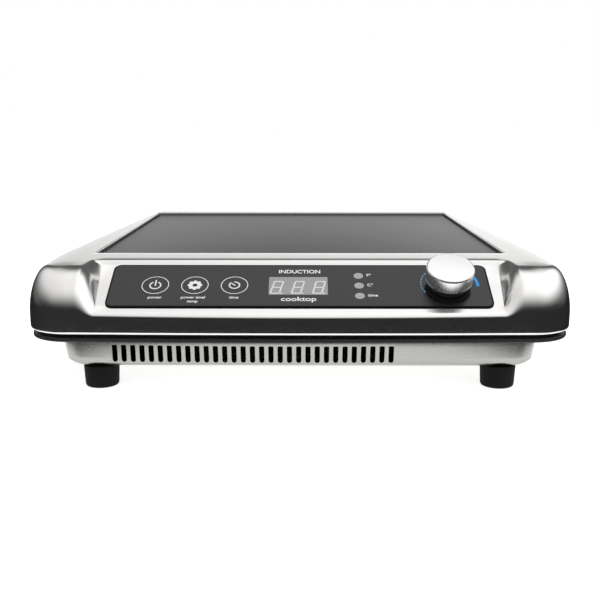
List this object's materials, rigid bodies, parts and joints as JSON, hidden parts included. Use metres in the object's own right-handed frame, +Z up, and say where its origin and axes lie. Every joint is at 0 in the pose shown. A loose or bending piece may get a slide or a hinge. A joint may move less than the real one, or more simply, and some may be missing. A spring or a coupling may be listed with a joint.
{
  "type": "electric induction cooktop",
  "caption": "Countertop electric induction cooktop with a black glass top in a rounded steel shell, and a sloped control panel with keys, a display and a knob.",
  "frame": {"origin": "middle of the bounding box at the level of the undersides of the feet", "axes": "+X to the right, +Y to the rear, +Z up; the control panel faces -Y"},
  "size_m": [0.366, 0.385, 0.0893],
  "materials": {
    "shell_steel": "satin brushed stainless steel",
    "tray_steel": "satin stainless steel",
    "hidden_steel": "zinc plated",
    "black_glass": "polished black glass ceramic",
    "silicone": "matte black silicone",
    "panel_film": "dark grey printed film",
    "display_grey": "pale grey display filter",
    "lamp_lens": "translucent grey lens",
    "knob_aluminium": "turned and spun finish",
    "black_plastic": "moulded black",
    "natural_plastic": "natural moulded polymer",
    "trim_grey": "dark grey moulded",
    "foot_rubber": "black rubber",
    "circuit_board": "green solder mask",
    "copper": "enamelled copper",
    "ferrite": "sintered dark grey",
    "mica": "pressed mica",
    "sink_aluminium": "extruded"
  },
  "bodies": {
    "housing": {"top_shell": "shell_steel", "bottom_tray": "tray_steel", "glass_support_frame": "hidden_steel", "board_bracket": "hidden_steel", "encoder_nut": "hidden_steel", "foot_screw_front_left": "hidden_steel", "foot_screw_front_right": "hidden_steel", "foot_screw_rear_left": "hidden_steel", "foot_screw_rear_right": "hidden_steel", "case_screw_1": "hidden_steel", "case_screw_2": "hidden_steel", "case_screw_3": "hidden_steel", "case_screw_4": "hidden_steel", "glass_top": "black_glass", "glass_gasket": "silicone", "control_panel": "panel_film", "display_window": "display_grey", "indicator_lens_fahrenheit": "lamp_lens", "indicator_lens_celsius": "lamp_lens", "indicator_lens_time": "lamp_lens", "encoder_body": "black_plastic", "display_module": "black_plastic", "cord_gland": "black_plastic", "gland_nut": "black_plastic", "fan_frame": "black_plastic", "igbt": "black_plastic", "bridge_rectifier": "black_plastic", "coil_former": "natural_plastic", "temperature_sensor": "natural_plastic", "mains_terminal": "natural_plastic", "control_ribbon": "natural_plastic", "base_trim": "trim_grey", "resonant_capacitor": "trim_grey", "foot_front_left": "foot_rubber", "foot_front_right": "foot_rubber", "foot_rear_left": "foot_rubber", "foot_rear_right": "foot_rubber", "control_board": "circuit_board", "power_board": "circuit_board", "coil_winding": "copper", "coil_lead_outer": "copper", "coil_lead_inner": "copper", "filter_choke": "copper", "ferrite_bar_1": "ferrite", "ferrite_bar_2": "ferrite", "ferrite_bar_3": "ferrite", "ferrite_bar_4": "ferrite", "mica_sheet": "mica", "heat_sink": "sink_aluminium"},
    "knob": {"knob_cap": "knob_aluminium", "knob_skirt": "black_plastic", "encoder_shaft": "hidden_steel"},
    "power_key": {"power_key": "panel_film", "power_key_stem": "natural_plastic"},
    "mode_key": {"mode_key": "panel_film", "mode_key_stem": "natural_plastic"},
    "timer_key": {"timer_key": "panel_film", "timer_key_stem": "natural_plastic"},
    "fan_rotor": {"fan_rotor": "black_plastic"}
  },
  "joints": [
    {"name": "knob_turn", "type": "hinge", "parent": "housing", "child": "knob", "pos_m": [0.0998, -0.16537, 0.06893], "axis": [0, -0.4695, 0.8829], "continuous": true},
    {"name": "power_key_press", "type": "slide", "parent": "housing", "child": "power_key", "axis": [0, 0.4695, -0.8829], "range_m": [0, 0.0004], "stiffness_N_per_m": 5000},
    {"name": "mode_key_press", "type": "slide", "parent": "housing", "child": "mode_key", "axis": [0, 0.4695, -0.8829], "range_m": [0, 0.0004], "stiffness_N_per_m": 5000},
    {"name": "timer_key_press", "type": "slide", "parent": "housing", "child": "timer_key", "axis": [0, 0.4695, -0.8829], "range_m": [0, 0.0004], "stiffness_N_per_m": 5000},
    {"name": "fan_spin", "type": "hinge", "parent": "housing", "child": "fan_rotor", "pos_m": [-0.082, 0.056, 0.03], "axis": [0, 0, 1], "continuous": true}
  ]
}
